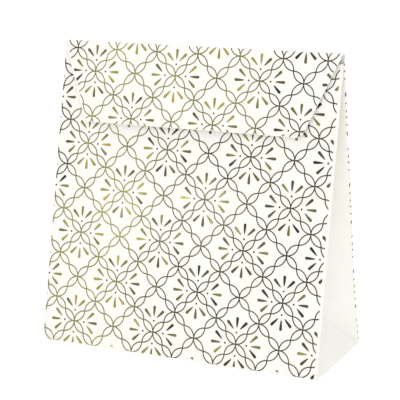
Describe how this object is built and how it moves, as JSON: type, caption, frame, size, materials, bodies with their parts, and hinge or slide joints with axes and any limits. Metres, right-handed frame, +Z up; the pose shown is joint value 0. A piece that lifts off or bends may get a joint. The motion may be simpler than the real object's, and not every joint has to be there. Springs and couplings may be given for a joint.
{
  "type": "gift bag",
  "caption": "Folded paper gift bag with a flat base, inward-folding side gussets and a tapered flap that folds over the front to close it.",
  "frame": {"origin": "centre of the base, on the surface the bag stands on", "axes": "+X across the front to the viewer's right, +Y from the printed front to the back, +Z up"},
  "size_m": [0.203, 0.0759, 0.2001],
  "materials": {
    "printed_paper": "white coated paper with a fine gold foil lattice",
    "white_paper": "white coated paper, satin",
    "gold_foil": "hot-stamped gold foil, mirror-like, thinner than the paper",
    "card": "grey board, matt",
    "dot_tape": "white nylon hook-and-loop tape"
  },
  "bodies": {
    "shell": {"base_back_flap": "white_paper", "base_front_flap": "white_paper", "base_left_tuck": "white_paper", "base_right_tuck": "white_paper", "base_card": "card", "back_lower_panel": "printed_paper", "back_panel": "printed_paper", "left_base_triangle": "white_paper", "left_lower_rear": "white_paper", "left_upper_rear": "white_paper", "right_base_triangle": "white_paper", "right_lower_rear": "white_paper", "right_upper_rear": "white_paper", "seam_tab": "white_paper"},
    "front_wall": {"front_panel": "printed_paper", "left_lower_front": "white_paper", "left_upper_front": "white_paper", "right_lower_front": "white_paper", "right_upper_front": "white_paper", "loop_dot": "dot_tape"},
    "flap": {"closing_flap": "printed_paper", "hook_dot": "dot_tape"}
  },
  "joints": [
    {"name": "flap_fold", "type": "hinge", "parent": "shell", "child": "flap", "pos_m": [0, 0.01101, 0.20009], "axis": [-1, 0, 0], "range_deg": [0, 215]},
    {"name": "mouth_open", "type": "hinge", "parent": "shell", "child": "front_wall", "pos_m": [0, -0.038, 0], "axis": [1, 0, 0], "range_deg": [0, 10.5]}
  ],
  "couplings": [
    {"joint": "mouth_open", "follows": "flap_fold", "ratio": 0.048837}
  ]
}
